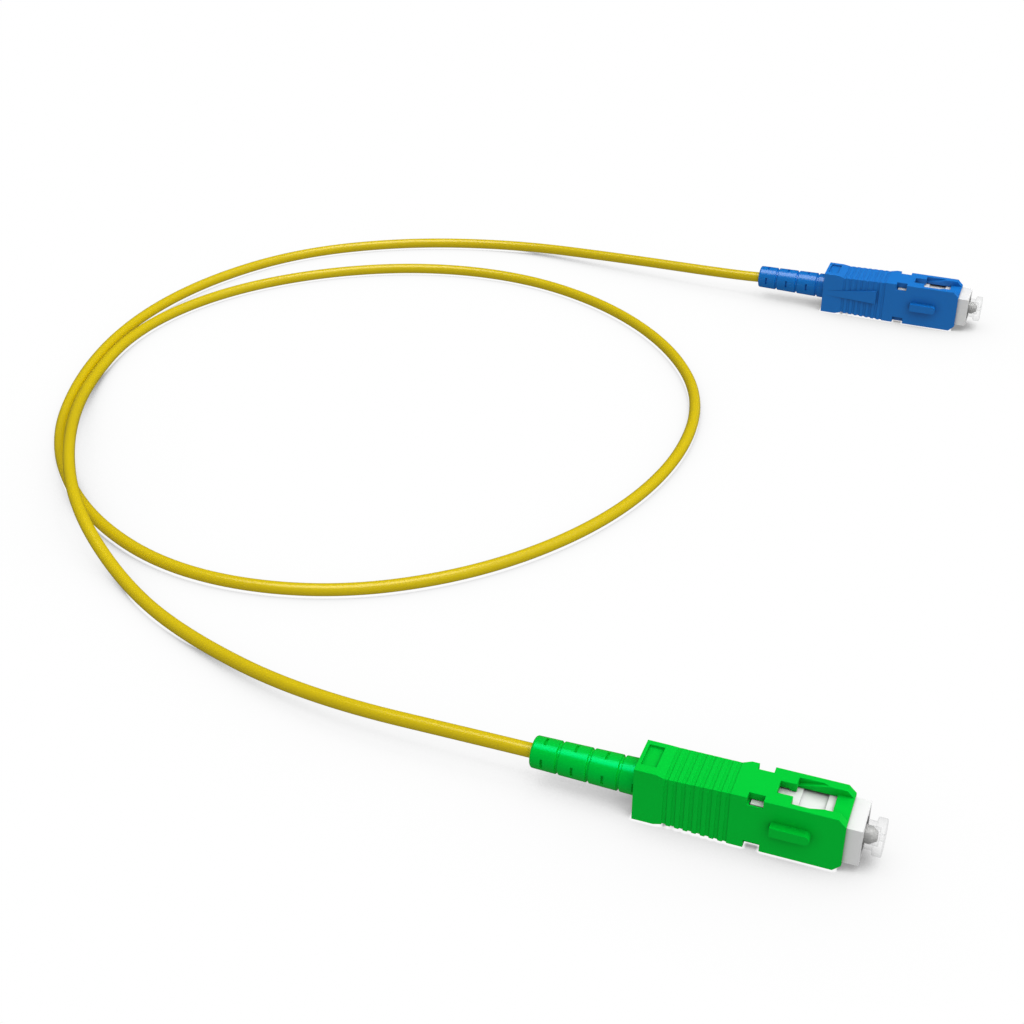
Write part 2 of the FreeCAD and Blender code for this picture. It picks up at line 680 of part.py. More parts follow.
def dust_cap():
    """Clear cap: a tube over the ferrule inside the mouth, with a vented flange to pull it by."""
    bore = FERRULE_DIAMETER / 2 + CAP_CLEARANCE
    tube = CAP_TUBE_DIAMETER / 2
    flange = CAP_FLANGE_DIAMETER / 2
    bore_end = FERRULE_FRONT + CAP_TIP_ROOM
    return turned([
        (CAP_REAR, bore),
        (CAP_REAR, tube - CAP_EDGE),
        (CAP_REAR + CAP_EDGE, tube),
        (CAP_FLANGE_REAR, tube),
        (CAP_FLANGE_REAR, flange - CAP_EDGE),
        (CAP_FLANGE_REAR + CAP_EDGE, flange),
        (CAP_FRONT - CAP_EDGE, flange),
        (CAP_FRONT, flange - CAP_EDGE),
        (CAP_FRONT, CAP_VENT_DIAMETER / 2),
        (bore_end, CAP_VENT_DIAMETER / 2),
        (bore_end, bore),
    ])


def cord_points():
    """Corner points of the cord's route, from its end in one plug to its end in the other."""
    lead = BOOT_REAR - CORD_LEAD
    points = [
        Vector(ANGLED_X + CORD_END, ANGLED_Y, AXIS_HEIGHT),
        Vector(ANGLED_X + lead, ANGLED_Y, AXIS_HEIGHT),
    ]
    for x, y, lift in CORD_ROUTE:
        points.append(Vector(x, y, CORD_DIAMETER / 2 + lift))
    points.append(Vector(FLAT_X + lead, FLAT_Y, AXIS_HEIGHT))
    points.append(Vector(FLAT_X + CORD_END, FLAT_Y, AXIS_HEIGHT))
    return points


def rounded_path(points):
    """Straight runs joined by tangent arcs that take up most of the shorter run.

    The first and the last arc stay outside the boots, where the cord runs straight.
    """
    edges = []
    radii = []
    last = points[0]
    corners = list(zip(points, points[1:], points[2:]))
    for index, (before, corner, after) in enumerate(corners):
        back = before - corner
        ahead = after - corner
        turn = math.pi - back.getAngle(ahead)
        reach = ARC_SHARE * min(back.Length, ahead.Length)
        if index in (0, len(corners) - 1):
            reach = min(reach, CORD_LEAD)
        radius = reach / math.tan(turn / 2)
        start = corner + back.normalize() * reach
        end = corner + ahead.normalize() * reach
        inward = (back + ahead).normalize()
        middle = corner + inward * (radius / math.cos(turn / 2) - radius)
        edges.append(Part.LineSegment(last, start).toShape())
        edges.append(Part.Arc(start, middle, end).toShape())
        radii.append(radius)
        last = end
    edges.append(Part.LineSegment(last, points[-1]).toShape())
    return Part.Wire(edges), radii


def cord():
    """The cord's jacket as one plain tube along its route."""
    points = cord_points()
    path, radii = rounded_path(points)
    section = Part.Wire(Part.makeCircle(CORD_DIAMETER / 2, points[0], points[1] - points[0]))
    body = path.makePipeShell([section], True, False)
    area = math.pi * CORD_DIAMETER ** 2 / 4
    print("cord radii", [round(radius, 1) for radius in radii])
    print("cord length", round(path.Length, 1))
    print("cord volume over section times length", round(body.Volume / (area * path.Length), 4))
    return body


def plug_pieces(prefix, polish_degrees, key_lift, with_wedge):
    """All pieces of one plug in its own frame, by node name."""
    return {
        prefix + "_grip": grip(key_lift, with_wedge),
        prefix + "_plug_frame": plug_frame(),
        prefix + "_ferrule": ferrule(polish_degrees),
        prefix + "_ferrule_holder": ferrule_holder(),
        prefix + "_spring": spring(),
        prefix + "_stop_ring": stop_ring(),
        prefix + "_yarn": yarn(),
        prefix + "_crimp_ring": crimp_ring(),
        prefix + "_fibre": fibre(),
        prefix + "_boot": boot(),
        prefix + "_dust_cap": dust_cap(),
    }


def all_pieces():
    """Every piece of the patch cable at its place, by node name."""
    pieces = {"cord": cord()}
    angled = plug_pieces("apc", ANGLED_POLISH_DEGREES, ANGLED_KEY_LIFT, False)
    flat = plug_pieces("upc", 0, FLAT_KEY_LIFT, True)
    places = [
        (angled, Vector(ANGLED_X, ANGLED_Y, AXIS_HEIGHT)),
        (flat, Vector(FLAT_X, FLAT_Y, AXIS_HEIGHT)),
    ]
    for plug, place in places:
        for node, shape in plug.items():
            shape.translate(place)
            pieces[node] = shape
    return pieces


os.makedirs("parts", exist_ok=True)
for node, shape in all_pieces().items():
    solid = shape.Solids[0]
    solid.exportStep("parts/" + node + ".step")
    print(node, "solids", len(shape.Solids), "valid", solid.isValid(), "volume", round(solid.Volume, 3))
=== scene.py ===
"""Look of the simplex fibre patch cable: moulded plugs, ringed boots, clear caps and a yellow cord."""

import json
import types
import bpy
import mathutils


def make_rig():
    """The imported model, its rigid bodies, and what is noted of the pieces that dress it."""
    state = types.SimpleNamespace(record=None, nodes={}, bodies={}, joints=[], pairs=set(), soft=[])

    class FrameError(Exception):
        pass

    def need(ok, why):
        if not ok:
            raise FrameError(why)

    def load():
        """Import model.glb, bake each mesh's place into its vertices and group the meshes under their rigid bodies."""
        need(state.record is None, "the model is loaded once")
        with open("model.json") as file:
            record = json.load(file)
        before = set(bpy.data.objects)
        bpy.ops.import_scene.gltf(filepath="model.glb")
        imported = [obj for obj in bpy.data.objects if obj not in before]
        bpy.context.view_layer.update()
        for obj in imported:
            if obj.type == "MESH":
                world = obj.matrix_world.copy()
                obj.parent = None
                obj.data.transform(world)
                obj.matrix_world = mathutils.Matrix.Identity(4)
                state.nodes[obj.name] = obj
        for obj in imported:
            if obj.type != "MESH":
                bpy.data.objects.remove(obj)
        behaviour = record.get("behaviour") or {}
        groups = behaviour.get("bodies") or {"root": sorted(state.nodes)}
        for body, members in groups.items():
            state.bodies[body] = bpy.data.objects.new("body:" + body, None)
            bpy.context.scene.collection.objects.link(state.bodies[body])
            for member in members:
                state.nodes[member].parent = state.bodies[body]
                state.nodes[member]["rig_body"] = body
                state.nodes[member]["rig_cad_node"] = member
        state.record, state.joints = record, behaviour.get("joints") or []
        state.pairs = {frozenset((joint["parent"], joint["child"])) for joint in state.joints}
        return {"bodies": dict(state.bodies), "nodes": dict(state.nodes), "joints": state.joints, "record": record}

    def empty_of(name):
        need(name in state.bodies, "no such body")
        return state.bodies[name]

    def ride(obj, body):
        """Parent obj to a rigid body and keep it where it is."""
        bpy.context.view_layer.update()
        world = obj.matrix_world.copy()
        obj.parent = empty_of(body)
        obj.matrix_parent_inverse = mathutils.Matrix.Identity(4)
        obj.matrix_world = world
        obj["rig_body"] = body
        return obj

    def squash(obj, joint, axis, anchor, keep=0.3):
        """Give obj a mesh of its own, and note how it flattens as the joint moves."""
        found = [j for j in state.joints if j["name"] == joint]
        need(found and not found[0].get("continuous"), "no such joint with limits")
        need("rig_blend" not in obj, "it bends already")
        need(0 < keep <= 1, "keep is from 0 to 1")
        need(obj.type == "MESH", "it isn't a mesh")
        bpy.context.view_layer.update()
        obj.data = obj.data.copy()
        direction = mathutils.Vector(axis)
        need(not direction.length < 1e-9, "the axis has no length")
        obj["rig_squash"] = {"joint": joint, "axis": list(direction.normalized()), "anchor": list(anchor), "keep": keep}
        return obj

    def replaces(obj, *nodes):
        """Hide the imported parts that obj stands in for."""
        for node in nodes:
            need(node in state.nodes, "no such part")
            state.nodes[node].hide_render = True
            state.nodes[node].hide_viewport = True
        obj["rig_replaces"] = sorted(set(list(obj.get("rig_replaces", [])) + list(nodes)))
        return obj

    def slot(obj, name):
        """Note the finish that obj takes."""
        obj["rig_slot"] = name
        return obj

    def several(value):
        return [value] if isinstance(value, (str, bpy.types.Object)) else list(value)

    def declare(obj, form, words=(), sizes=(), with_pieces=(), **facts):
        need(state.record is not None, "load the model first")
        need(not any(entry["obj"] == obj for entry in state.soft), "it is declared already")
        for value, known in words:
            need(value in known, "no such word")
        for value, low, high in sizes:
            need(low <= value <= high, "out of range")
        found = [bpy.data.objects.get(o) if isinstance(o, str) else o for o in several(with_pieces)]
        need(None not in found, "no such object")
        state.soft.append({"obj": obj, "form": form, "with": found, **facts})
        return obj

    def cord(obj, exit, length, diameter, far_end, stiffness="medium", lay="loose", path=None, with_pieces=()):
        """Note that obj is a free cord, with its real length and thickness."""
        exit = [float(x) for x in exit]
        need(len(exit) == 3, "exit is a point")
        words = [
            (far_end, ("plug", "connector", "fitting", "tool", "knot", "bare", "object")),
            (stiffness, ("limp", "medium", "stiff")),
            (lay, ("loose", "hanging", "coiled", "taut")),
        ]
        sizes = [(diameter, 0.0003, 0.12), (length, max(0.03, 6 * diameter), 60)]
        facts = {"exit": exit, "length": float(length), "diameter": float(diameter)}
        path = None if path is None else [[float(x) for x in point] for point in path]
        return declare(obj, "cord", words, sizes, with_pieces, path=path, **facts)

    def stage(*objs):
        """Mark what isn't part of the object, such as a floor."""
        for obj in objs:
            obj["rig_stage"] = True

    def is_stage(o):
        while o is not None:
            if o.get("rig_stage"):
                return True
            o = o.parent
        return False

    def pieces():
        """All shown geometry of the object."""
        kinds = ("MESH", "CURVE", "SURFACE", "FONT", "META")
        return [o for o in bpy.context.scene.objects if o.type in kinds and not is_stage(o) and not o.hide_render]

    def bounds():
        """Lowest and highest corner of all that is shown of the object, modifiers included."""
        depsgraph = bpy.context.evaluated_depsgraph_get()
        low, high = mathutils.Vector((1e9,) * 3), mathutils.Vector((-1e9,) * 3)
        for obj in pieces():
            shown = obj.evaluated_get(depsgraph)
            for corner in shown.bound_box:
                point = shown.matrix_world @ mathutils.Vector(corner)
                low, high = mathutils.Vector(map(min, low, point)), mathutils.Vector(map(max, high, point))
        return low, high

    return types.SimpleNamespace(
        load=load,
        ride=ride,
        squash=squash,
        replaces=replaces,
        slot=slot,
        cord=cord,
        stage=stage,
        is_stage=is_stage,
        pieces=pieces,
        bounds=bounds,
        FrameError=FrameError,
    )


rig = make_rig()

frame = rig.load()
CAD_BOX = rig.bounds()

import json
import math

import bmesh
import bpy
from mathutils import Vector

MM = 0.001

# Places of the two plugs: where the rear face of each grip crosses its axis
ANGLED_PLUG = Vector((-4.55, -85.35, 4.5)) * MM
FLAT_PLUG = Vector((-13.75, 86.55, 4.5)) * MM
PLUGS = {"apc": ANGLED_PLUG, "upc": FLAT_PLUG}

# Camera, fitted on the plugs' edges
CAMERA_PLACE = (0.040268, -0.253820, 0.158072)
CAMERA_LENS = 57.622
CAMERA_DOWN = 0.5642
CAMERA_TURN = 0.3629

# Cord, with its route over the surface from the angled plug to the flat one
CORD_DIAMETER = 2.2 * MM
CORD_LENGTH = 0.803
CORD_EXIT = (-0.02025, -0.08535, 0.0045)
CORD_ROUTE = [
    (0.00385, -0.08535, 0.0045),
    (-0.0157, -0.08535, 0.0045),
    (-0.0247, -0.08535, 0.0045),
    (-0.0575, -0.0846, 0.0034),
    (-0.0844, -0.0749, 0.0011),
    (-0.1023, -0.0650, 0.0011),
    (-0.1174, -0.0544, 0.0062),
    (-0.1314, -0.0355, 0.0062),
    (-0.1455, -0.0091, 0.0016),
    (-0.1507, 0.0168, 0.0011),
    (-0.1441, 0.0397, 0.0011),
    (-0.1282, 0.0586, 0.0011),
    (-0.1060, 0.0713, 0.0011),
    (-0.0815, 0.0742, 0.0011),
    (-0.0586, 0.0667, 0.0011),
    (-0.0394, 0.0514, 0.0011),
    (-0.0272, 0.0309, 0.0011),
    (-0.0247, 0.0058, 0.0011),
    (-0.0310, -0.0196, 0.0011),
    (-0.0460, -0.0421, 0.0011),
    (-0.0678, -0.0571, 0.0011),
    (-0.0940, -0.0604, 0.0011),
    (-0.1182, -0.0505, 0.0011),
    (-0.1381, -0.0312, 0.0011),
    (-0.1493, -0.0063, 0.0011),
    (-0.1537, 0.0199, 0.0011),
    (-0.1496, 0.0450, 0.0011),
    (-0.1369, 0.0678, 0.0011),
    (-0.1156, 0.0831, 0.0011),
    (-0.0900, 0.0912, 0.0011),
    (-0.0625, 0.0884, 0.0030),
    (-0.0339, 0.0859, 0.0042),
    (-0.0249, 0.08655, 0.0045),
    (-0.00535, 0.08655, 0.0045),
]

# Boot sizes, with places along its axis from its rear end
BOOT = {
    "Length": 29.3 * MM,
    "Tapered length": 15.7 * MM,
    "Rear radius": 2.35 * MM,
    "Front radius": 2.65 * MM,
    "Edge radius": 0.35 * MM,
    "First ring": 4.05 * MM,
    "Segment": 4.55 * MM,
    "Ring count": 3,
    "Ring half width": 0.22 * MM,
    "Ring depth": 0.3 * MM,
    "Ring softness": 0.05 * MM,
    "Slits around": 4,
    "First slit": 1.86 * MM,
    "Slit width": 0.4 * MM,
    "Slit across": 1.55 * MM,
    "Slit depth": 0.45 * MM,
    "Cord bore radius": 1.15 * MM,
    "Crimp bore radius": 2.15 * MM,
    "Crimp bore start": 19.4 * MM,
}

# Where each boot's rear end lies along its plug
BOOT_REAR = {"apc": -15.8 * MM, "upc": -15.0 * MM}

# How finely a boot is drawn, and how far its bore's cutter stands out at each end
SPINE_POINTS = 587
RING_SIDES = 64
BORE_SIDES = 48
BORE_PAST = 0.5 * MM

# Edge rounding of moulded pieces, and the angle from which an edge counts as sharp
EDGE_ROUND = 0.05 * MM
SMOOTH_ANGLE = math.radians(35)

# How near corners of a copied CAD mesh are merged, and how flat joined faces are
MERGE_DISTANCE = 0.0005 * MM
FLAT_ANGLE = math.radians(0.5)

# Spacing of the wave texture's bands at a scale of 1
WAVE_SPACING = 0.31

# How far a ferrule can be pushed in against its spring
FERRULE_TRAVEL = 1.0 * MM

# Light: an even sky over a table, a broad key lamp from the plugs' front and a softbox seen in gloss
SKY_LEVEL = 0.42
TABLE_LEVEL = 0.46
HORIZON_BLEND = 0.1
SKY_IN_GLOSS = 0.05
KEY_ENERGY = 1.98
KEY_TILT = math.radians(22)
KEY_SPREAD = math.radians(80)
SOFTBOX_IN_GLOSS = 5.0
SOFTBOX_AXIS = (0.0, -0.087, 0.996)
SOFTBOX_INNER = math.radians(19)
SOFTBOX_OUTER = math.radians(27)

# Floor, and its shadow in a broad pale part and a steep dark part; what is nearer than the lift casts none
FLOOR_HALF = 4.0
FLOOR_DROP = 0.02 * MM
SHADOW_REACH = 25.0 * MM
SHADOW_LIFT = 0.5 * MM
BROAD_SHADOW = 0.18
CONTACT_SHADOW = 2.8
CONTACT_POWER = 4.0
DARKEST_FLOOR = 0.3


def linear(code):
    """Linear colour with alpha from an sRGB hex code."""
    parts = [int(code[i:i + 2], 16) / 255 for i in (1, 3, 5)]
    return tuple(c / 12.92 if c <= 0.04045 else ((c + 0.055) / 1.055) ** 2.4 for c in parts) + (1.0,)


def add(tree, kind, inputs=(), **settings):
    """Adds a node. Each input, by name or in order, is a value, a socket or a node's first output."""
    node = tree.nodes.new(kind)
    for name, value in settings.items():
        setattr(node, name, value)
    for name, value in inputs.items() if isinstance(inputs, dict) else enumerate(inputs):
        if isinstance(value, bpy.types.Node):
            value = value.outputs[0]
        if isinstance(value, bpy.types.NodeSocket):
            tree.links.new(value, node.inputs[name])
        else:
            node.inputs[name].default_value = value
    return node


def empty_tree(block):
    """Cleared node tree of a new material or world."""
    block.use_nodes = True
    block.node_tree.nodes.clear()
    return block.node_tree


def finish_of(name, tree_maker):
    """Material of that name whose surface is the shader that the maker builds."""
    material = bpy.data.materials.new(name)
    tree = empty_tree(material)
    place = add(tree, "ShaderNodeTexCoord").outputs["Object"]
    shader = add(tree, "ShaderNodeBsdfPrincipled", tree_maker(tree, place))
    add(tree, "ShaderNodeOutputMaterial", {"Surface": shader.outputs["BSDF"]})
    return material


def grain(tree, place, size_mm, height_mm):
    """Normal with a fine grain of that size and height."""
    noise = add(tree, "ShaderNodeTexNoise", {
        "Vector": place, "Scale": 1 / (size_mm * MM), "Detail": 2.0, "Roughness": 0.5})
    bump = add(tree, "ShaderNodeBump", {
        "Height": noise.outputs["Fac"], "Strength": 0.25, "Distance": height_mm * MM})
    return bump.outputs["Normal"]


def flow(tree, place, dark, light, size_mm):
    """Slow change of colour between two close shades, as melt flow leaves in a moulding."""
    noise = add(tree, "ShaderNodeTexNoise", {
        "Vector": place, "Scale": 1 / (size_mm * MM), "Detail": 3.0, "Roughness": 0.55})
    return add(tree, "ShaderNodeMix", {
        "Factor": noise.outputs["Fac"], "A": linear(dark), "B": linear(light)},
        data_type="RGBA").outputs["Result"]


def painted_groove_shade(tree, colour, reach_mm, share):
    """The colour with painted shade, darker in grooves and corners that ambient occlusion finds."""
    corner = add(tree, "ShaderNodeAmbientOcclusion", {
        "Color": colour, "Distance": reach_mm * MM}, samples=10)
    return add(tree, "ShaderNodeMix", {
        "Factor": share, "A": colour, "B": corner.outputs["Color"]}, data_type="RGBA").outputs["Result"]


def moulded_plastic(name, dark, light, roughness, specular, gleam):
    """Moulded PBT: an even colour with painted shade in its grooves and corners, and a satin face whose grain is just
    felt.
    """
    # The real grain is near 0.05 mm and is drawn coarser, because a pixel covers more than that
    return finish_of(name, lambda tree, place: {
        # Painted shade: the base colour is darkened in grooves and corners by ambient occlusion
        "Base Color": painted_groove_shade(tree, flow(tree, place, dark, light, 6.0), 2.0, 0.7),
        "Normal": grain(tree, place, 0.25, 0.002),
        "Roughness": roughness,
        "Specular IOR Level": specular,
        "Specular Tint": linear(gleam)})


def soft_boot(name, dark, light, specular, gleam):
    """Soft PVC boot: smoother than the grip, so a clear streak of light runs along it."""
    return finish_of(name, lambda tree, place: {
        "Base Color": flow(tree, place, dark, light, 5.0),
        "Normal": grain(tree, place, 0.4, 0.001),
        "Roughness": 0.26,
        "Specular IOR Level": specular,
        "Specular Tint": linear(gleam)})


def yellow_jacket():
    """Extruded PVC jacket: semi-gloss with one thin highlight and faint waves from the extruder."""
    return finish_of("yellow_extruded_pvc", lambda tree, place: {
        "Base Color": flow(tree, place, "#DFC400", "#E5CC00", 9.0),
        "Normal": grain(tree, place, 0.8, 0.001),
        "Roughness": 0.28,
        "Specular IOR Level": 0.5})


def zirconia():
    """Ground and polished zirconia ceramic: smooth, bright and slightly warm."""
    return finish_of("ground_zirconia", lambda tree, place: {
        "Base Color": flow(tree, place, "#CACAC8", "#D2D2D0", 1.5),
        "Normal": grain(tree, place, 0.2, 0.001),
        "Roughness": 0.5,
        "IOR": 2.1,
        "Specular IOR Level": 0.4})


def clear_cap():
    """Clear moulded cap: nearly unseen where it faces the eye, pale grey where its walls turn away."""
    def tree_maker(tree, place):
        edge = add(tree, "ShaderNodeLayerWeight", {"Blend": 0.4}).outputs["Facing"]
        veil = add(tree, "ShaderNodeMapRange", {"Value": edge, "To Min": 0.04, "To Max": 0.21})
        return {
            "Base Color": flow(tree, place, "#B4B6B6", "#BEC0C0", 1.5),
            "Alpha": veil.outputs["Result"],
            "Roughness": 0.12,
            "Specular IOR Level": 0.4}
    return finish_of("clear_polypropylene", tree_maker)


def plated_metal(name, dark, light, roughness, line_mm):
    """Turned metal under nickel plate: bright, with fine lathe lines round its axis."""
    def tree_maker(tree, place):
        lines = add(tree, "ShaderNodeTexWave", {
            "Vector": place, "Scale": WAVE_SPACING / (line_mm * MM), "Distortion": 0.4},
            bands_direction="X")
        bump = add(tree, "ShaderNodeBump", {
            "Height": lines.outputs["Fac"], "Strength": 0.2, "Distance": 0.003 * MM})
        return {
            "Base Color": flow(tree, place, dark, light, 2.0),
            "Normal": bump.outputs["Normal"],
            "Metallic": 1.0,
            "Roughness": roughness}
    return finish_of(name, tree_maker)


def aramid_strands():
    """Aramid yarn: pale gold strands that lie along the plug."""
    def tree_maker(tree, place):
        along = add(tree, "ShaderNodeMapping", {"Vector": place, "Scale": (0.08, 1.0, 1.0)})
        strands = along.outputs["Vector"]
        return {
            "Base Color": flow(tree, strands, "#B9983A", "#E6CF7C", 0.12),
            "Normal": grain(tree, strands, 0.12, 0.05),
            "Roughness": 0.6}
    return finish_of("aramid_yarn_strands", tree_maker)


def all_materials():
    """Every finish by the record's slot name."""
    return {
        "yellow_jacket": yellow_jacket(),
        "green_plastic": moulded_plastic("green_satin_pbt", "#00D138", "#00D53A", 0.5, 0.14, "#00FFCC"),
        "blue_plastic": moulded_plastic("blue_satin_pbt", "#007AD8", "#007EDC", 0.5, 0.5, "#FFFFFF"),
        "green_boot": soft_boot("green_soft_pvc", "#00D138", "#00D53A", 0.9, "#00FFCC"),
        "blue_boot": soft_boot("blue_soft_pvc", "#0077D2", "#007BD6", 0.62, "#FFFFFF"),
        "white_plastic": moulded_plastic("white_satin_pbt", "#FAFAFA", "#FDFDFD", 0.5, 0.2, "#FFFFFF"),
        "ceramic": zirconia(),
        "nickel_brass": plated_metal("nickel_plated_brass", "#BDB8AE", "#C9C5BC", 0.25, 0.08),
        "crimp_metal": plated_metal("drawn_crimp_metal", "#B5B0A6", "#C2BDB4", 0.35, 0.3),
        "spring_steel": plated_metal("drawn_spring_steel", "#9C9C9F", "#AFAFB2", 0.3, 0.05),
        "aramid": aramid_strands(),
        "buffer": moulded_plastic("white_fibre_buffer", "#E9E8E2", "#F2F1EC", 0.4, 0.3, "#FFFFFF"),
        "clear_plastic": clear_cap(),
    }


MATERIALS = all_materials()
SLOTS = {part["node"]: part["material_slot"] for part in frame["record"]["subparts"]}
BODIES = {node: body for body, nodes in frame["record"]["behaviour"]["bodies"].items() for node in nodes}


def dress(piece, node):
    """Gives a piece the finish, the body and the place of the CAD node that it stands for."""
    piece.data.materials.clear()
    piece.data.materials.append(MATERIALS[SLOTS[node]])
    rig.ride(piece, BODIES[node])
    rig.replaces(piece, node)
    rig.slot(piece, SLOTS[node])


def link(name, data):
    """New object with that data in the scene."""
    piece = bpy.data.objects.new(name, data)
    bpy.context.scene.collection.objects.link(piece)
    return piece


def smooth_by_angle(mesh, angle):
    """Smooth faces that meet under an angle, sharp edges over it."""
    mesh.polygons.foreach_set("use_smooth", [True] * len(mesh.polygons))
    mesh.set_sharp_from_angle(angle=angle)


def settled(piece):
    """Puts the piece's evaluated mesh in place of its modifiers."""
    graph = bpy.context.evaluated_depsgraph_get()
    mesh = bpy.data.meshes.new_from_object(piece.evaluated_get(graph))
    piece.modifiers.clear()
    piece.data = mesh
    return piece


def merged_copy(node, name):
    """Copy of a CAD node with merged corners and whole flat faces."""
    mesh = frame["nodes"][node].data.copy()
    form = bmesh.new()
    form.from_mesh(mesh)
    bmesh.ops.remove_doubles(form, verts=form.verts, dist=MERGE_DISTANCE)
    bmesh.ops.dissolve_limit(form, angle_limit=FLAT_ANGLE, verts=form.verts, edges=form.edges)
    form.to_mesh(mesh)
    form.free()
    return link(name, mesh)


def rounded_copy(node, name, width):
    """Copy of a CAD node with small rounded edges."""
    piece = merged_copy(node, name)
    piece.data.polygons.foreach_set("use_smooth", [True] * len(piece.data.polygons))
    bevel = piece.modifiers.new("rounded edges", "BEVEL")
    bevel.width = width
    bevel.segments = 2
    bevel.limit_method = "ANGLE"
    bevel.angle_limit = SMOOTH_ANGLE
    even = piece.modifiers.new("flat faces stay flat", "WEIGHTED_NORMAL")
    even.keep_sharp = True
    return settled(piece)


def boot_taper(tree, sizes, place):
    """Radius of the plain taper at a place along the boot."""
    return add(tree, "ShaderNodeMapRange", {
        "Value": place, "From Max": sizes["Tapered length"],
        "To Min": sizes["Rear radius"], "To Max": sizes["Front radius"]})


def boot_rounding(tree, sizes, place):
    """How far the rounded rear edge draws the boot in at a place along it."""
    edge = sizes["Edge radius"]
    short = add(tree, "ShaderNodeMath", (edge, place), operation="SUBTRACT")
    inside = add(tree, "ShaderNodeMath", (short, 0.0), operation="MAXIMUM")
    edge_square = add(tree, "ShaderNodeMath", (edge, edge), operation="MULTIPLY")
    inside_square = add(tree, "ShaderNodeMath", (inside, inside), operation="MULTIPLY")
    left = add(tree, "ShaderNodeMath", (edge_square, inside_square), operation="SUBTRACT")
    chord = add(tree, "ShaderNodeMath", (left,), operation="SQRT")
    return add(tree, "ShaderNodeMath", (edge, chord), operation="SUBTRACT")


def boot_rings(tree, sizes, place):
    """Depth of the ring grooves at a place along the boot."""
    half = add(tree, "ShaderNodeMath", (sizes["Segment"], 0.5), operation="MULTIPLY")
    past_first = add(tree, "ShaderNodeMath", (place, sizes["First ring"]), operation="SUBTRACT")
    from_ring = add(tree, "ShaderNodeMath", (past_first, half), operation="PINGPONG")
    width = sizes["Ring half width"]
    softness = sizes["Ring softness"]
    groove = add(tree, "ShaderNodeMapRange", {
        "Value": from_ring,
        "From Min": add(tree, "ShaderNodeMath", (width, softness), operation="ADD"),
        "From Max": add(tree, "ShaderNodeMath", (width, softness), operation="SUBTRACT"),
        "To Min": 0.0, "To Max": sizes["Ring depth"]}, interpolation_type="SMOOTHSTEP")
    ringed = add(tree, "ShaderNodeMath", (sizes["Segment"], sizes["Ring count"]), operation="MULTIPLY")
    last = add(tree, "ShaderNodeMath", (ringed, half), operation="SUBTRACT")
    among = add(tree, "ShaderNodeMath", (past_first, last), operation="LESS_THAN")
    return add(tree, "ShaderNodeMath", (groove, among), operation="MULTIPLY")


def boot_body(tree, sizes):
    """Tapered boot with its rounded rear edge and its ring grooves."""
    end = add(tree, "ShaderNodeCombineXYZ", {"X": sizes["Length"]})
    line = add(tree, "GeometryNodeCurvePrimitiveLine", {"End": end})
    spine = add(tree, "GeometryNodeResampleCurve", {"Curve": line, "Count": SPINE_POINTS})
    place = add(tree, "GeometryNodeSplineParameter").outputs["Length"]
    taper = boot_taper(tree, sizes, place)
    rounding = boot_rounding(tree, sizes, place)
    plain = add(tree, "ShaderNodeMath", (taper, rounding), operation="SUBTRACT")
    rings = boot_rings(tree, sizes, place)
    radius = add(tree, "ShaderNodeMath", (plain, rings), operation="SUBTRACT")
    outline = add(tree, "GeometryNodeCurvePrimitiveCircle", {"Resolution": RING_SIDES, "Radius": 1.0})
    return add(tree, "GeometryNodeCurveToMesh", {
        "Curve": spine, "Profile Curve": outline, "Scale": radius, "Fill Caps": True})


def boot_slits(tree, sizes):
    """The slits, in rows around the boot, as blocks to cut with."""
    rows = add(tree, "ShaderNodeMath", (sizes["Ring count"], 1.0), operation="ADD")
    count = add(tree, "ShaderNodeMath", (rows, sizes["Slits around"]), operation="MULTIPLY")
    index = add(tree, "GeometryNodeInputIndex")
    rounds = add(tree, "ShaderNodeMath", (index, sizes["Slits around"]), operation="DIVIDE")
    row = add(tree, "ShaderNodeMath", (rounds,), operation="FLOOR")
    turn = add(tree, "ShaderNodeMath", (rounds, 2 * math.pi), operation="MULTIPLY")
    place = add(tree, "ShaderNodeMath", (
        row, sizes["Segment"], sizes["First slit"]), operation="MULTIPLY_ADD")
    radius = boot_taper(tree, sizes, place)
    sine = add(tree, "ShaderNodeMath", (turn,), operation="SINE")
    cosine = add(tree, "ShaderNodeMath", (turn,), operation="COSINE")
    aside = add(tree, "ShaderNodeMath", (sine, radius), operation="MULTIPLY")
    spot = add(tree, "ShaderNodeCombineXYZ", {
        "X": place,
        "Y": add(tree, "ShaderNodeMath", (aside, -1.0), operation="MULTIPLY"),
        "Z": add(tree, "ShaderNodeMath", (cosine, radius), operation="MULTIPLY")})
    spots = add(tree, "GeometryNodePoints", {"Count": count, "Position": spot})
    size = add(tree, "ShaderNodeCombineXYZ", {
        "X": sizes["Slit width"],
        "Y": sizes["Slit across"],
        "Z": add(tree, "ShaderNodeMath", (sizes["Slit depth"], 2.0), operation="MULTIPLY")})
    knife = add(tree, "GeometryNodeMeshCube", {"Size": size})
    heading = add(tree, "ShaderNodeCombineXYZ", {"X": turn})
    knives = add(tree, "GeometryNodeInstanceOnPoints", {
        "Points": spots, "Instance": knife, "Rotation": heading})
    return add(tree, "GeometryNodeRealizeInstances", {"Geometry": knives})


def boot_bore(tree, sizes, radius, start):
    """Round bore from a start to past the boot's front end, as a rod to cut with."""
    depth = add(tree, "ShaderNodeMath", (sizes["Length"], 2 * BORE_PAST), operation="ADD")
    middle = add(tree, "ShaderNodeMath", (depth, 0.5, start), operation="MULTIPLY_ADD")
    rod = add(tree, "GeometryNodeMeshCylinder", {
        "Vertices": BORE_SIDES, "Radius": radius, "Depth": depth})
    shift = add(tree, "ShaderNodeCombineXYZ", {"X": middle})
    return add(tree, "GeometryNodeTransform", {
        "Geometry": rod, "Translation": shift, "Rotation": (0.0, math.pi / 2, 0.0)})


